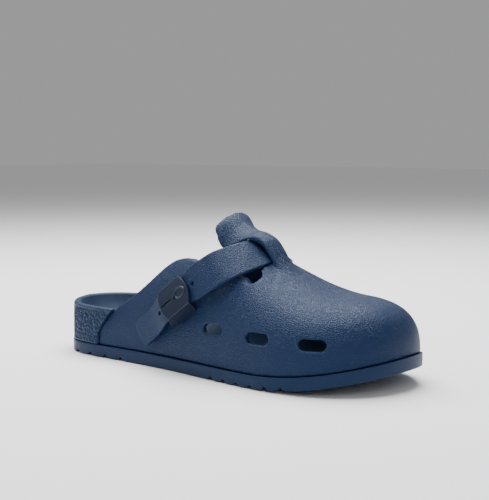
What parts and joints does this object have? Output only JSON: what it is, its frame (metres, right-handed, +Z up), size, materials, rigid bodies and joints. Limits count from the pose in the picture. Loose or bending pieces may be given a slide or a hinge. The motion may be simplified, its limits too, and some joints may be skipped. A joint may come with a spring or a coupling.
{
  "type": "garden clog",
  "caption": "Moulded backless garden clog for the right foot with a contoured footbed, side vents, and an instep strap held by a pin buckle.",
  "frame": {"origin": "on the floor, at the middle of the sole's length and width", "axes": "+X towards the toe, +Y towards the inner (medial) side of the foot, +Z up"},
  "size_m": [0.286, 0.1098, 0.1097],
  "materials": {
    "sole_foam": "matte moulded foam",
    "footbed_foam": "matte moulded foam, pebbled heel wall",
    "upper_foam": "leather-grained moulded foam",
    "strap_foam": "leather-grained moulded foam",
    "buckle_plastic": "smooth semi-gloss plastic"
  },
  "bodies": {
    "clog": {"outsole": "sole_foam", "footbed": "footbed_foam", "upper": "upper_foam", "instep_strap": "strap_foam", "buckle_anchor": "buckle_plastic", "anchor_washer": "buckle_plastic", "hinge_pin": "buckle_plastic", "strap_rivet": "buckle_plastic", "rivet_washer": "buckle_plastic"},
    "frame": {"buckle_frame": "buckle_plastic"},
    "prong": {"buckle_prong": "buckle_plastic"}
  },
  "joints": [
    {"name": "frame_hinge", "type": "hinge", "parent": "clog", "child": "frame", "pos_m": [-0.02014, -0.04233, 0.04335], "axis": [0.6333, -0.2384, -0.7362], "range_deg": [0, 18]},
    {"name": "prong_hinge", "type": "hinge", "parent": "frame", "child": "prong", "pos_m": [-0.02014, -0.04233, 0.04335], "axis": [0.6333, -0.2384, -0.7362], "range_deg": [0, 10]}
  ]
}
